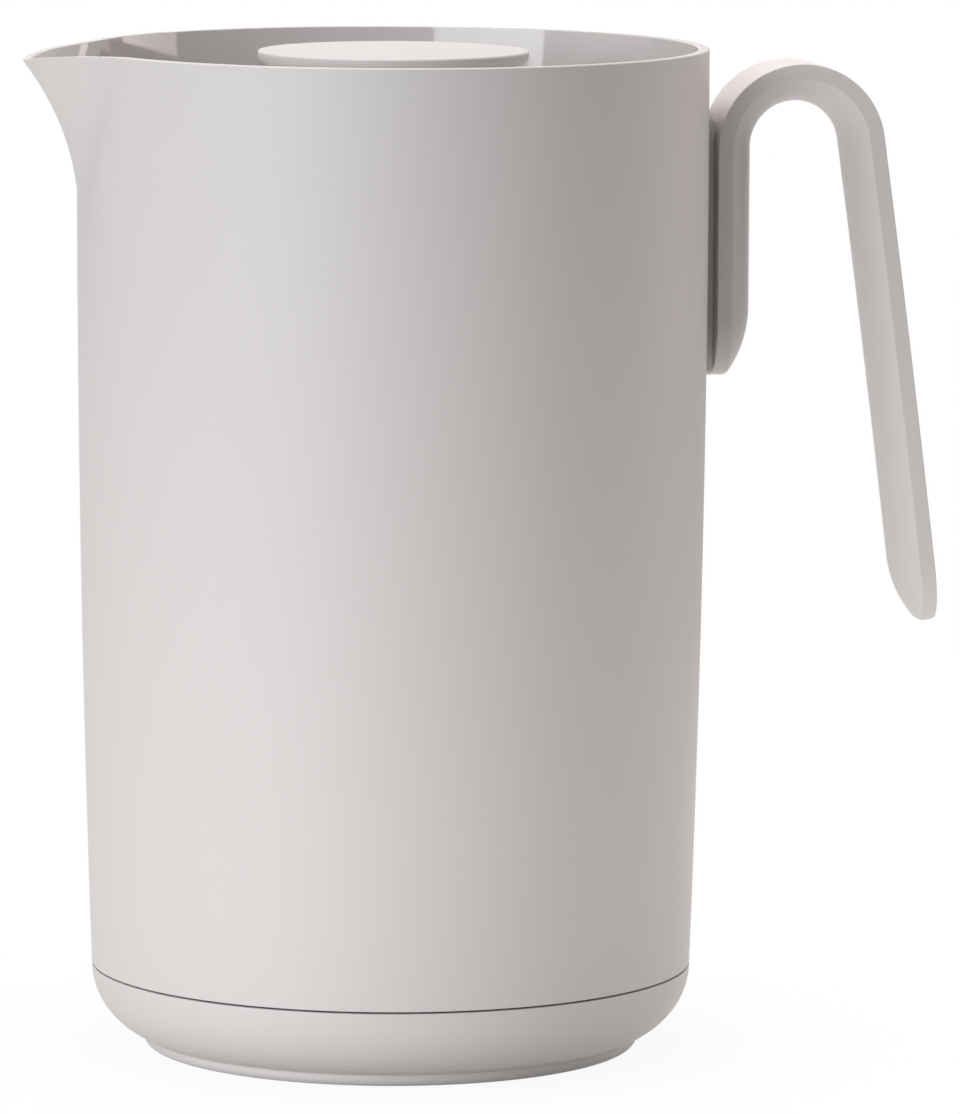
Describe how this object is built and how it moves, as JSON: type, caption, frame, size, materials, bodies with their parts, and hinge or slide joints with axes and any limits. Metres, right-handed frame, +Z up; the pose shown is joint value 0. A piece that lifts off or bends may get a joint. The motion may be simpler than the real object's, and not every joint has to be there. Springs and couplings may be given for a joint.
{
  "type": "insulated jug",
  "caption": "Tall insulated jug with a flared pouring lip, a hooked band handle open at its lower end, a rounded screw-on base and a lift-out lid with a round push button valve.",
  "frame": {"origin": "centre of the foot's flat underside, on the jug's axis", "axes": "+Z up along the jug's axis, -X towards the pouring lip, +X towards the handle"},
  "size_m": [0.1913, 0.13, 0.2075],
  "materials": {
    "shell_plastic": "fine matte moulding",
    "handle_plastic": "fine matte moulding",
    "collar_plastic": "polished moulding",
    "lid_plastic": "satin moulding",
    "button_plastic": "matte moulding",
    "dark_rubber": "matte",
    "clear_silicone": "satin",
    "silvered_glass": "silvered",
    "spacer_pad": "felted",
    "steel": "turned"
  },
  "bodies": {
    "jug_body": {"outer_shell": "shell_plastic", "base_cap": "shell_plastic", "base_seal": "dark_rubber", "flask_inner": "silvered_glass", "flask_outer": "silvered_glass", "flask_spacer_1": "spacer_pad", "flask_spacer_2": "spacer_pad", "flask_spacer_3": "spacer_pad", "flask_cushion": "dark_rubber", "flask_seal": "clear_silicone", "pour_collar": "collar_plastic", "collar_seal": "clear_silicone", "handle": "handle_plastic", "handle_strip": "handle_plastic", "handle_screw_1": "steel", "handle_screw_2": "steel"},
    "lid": {"stopper_body": "lid_plastic", "stopper_gasket": "clear_silicone", "stopper_cover": "lid_plastic", "return_spring": "steel"},
    "button": {"button_cap": "button_plastic", "valve_stem": "steel", "valve_plate": "lid_plastic", "valve_seal": "clear_silicone", "stem_nut": "steel"}
  },
  "joints": [
    {"name": "lid_lift", "type": "slide", "parent": "jug_body", "child": "lid", "axis": [0, 0, 1], "range_m": [0, 0.06]},
    {"name": "button_press", "type": "slide", "parent": "lid", "child": "button", "axis": [0, 0, -1], "range_m": [0, 0.005], "stiffness_N_per_m": 500, "springref_m": -0.006, "deforming": ["return_spring"]}
  ]
}
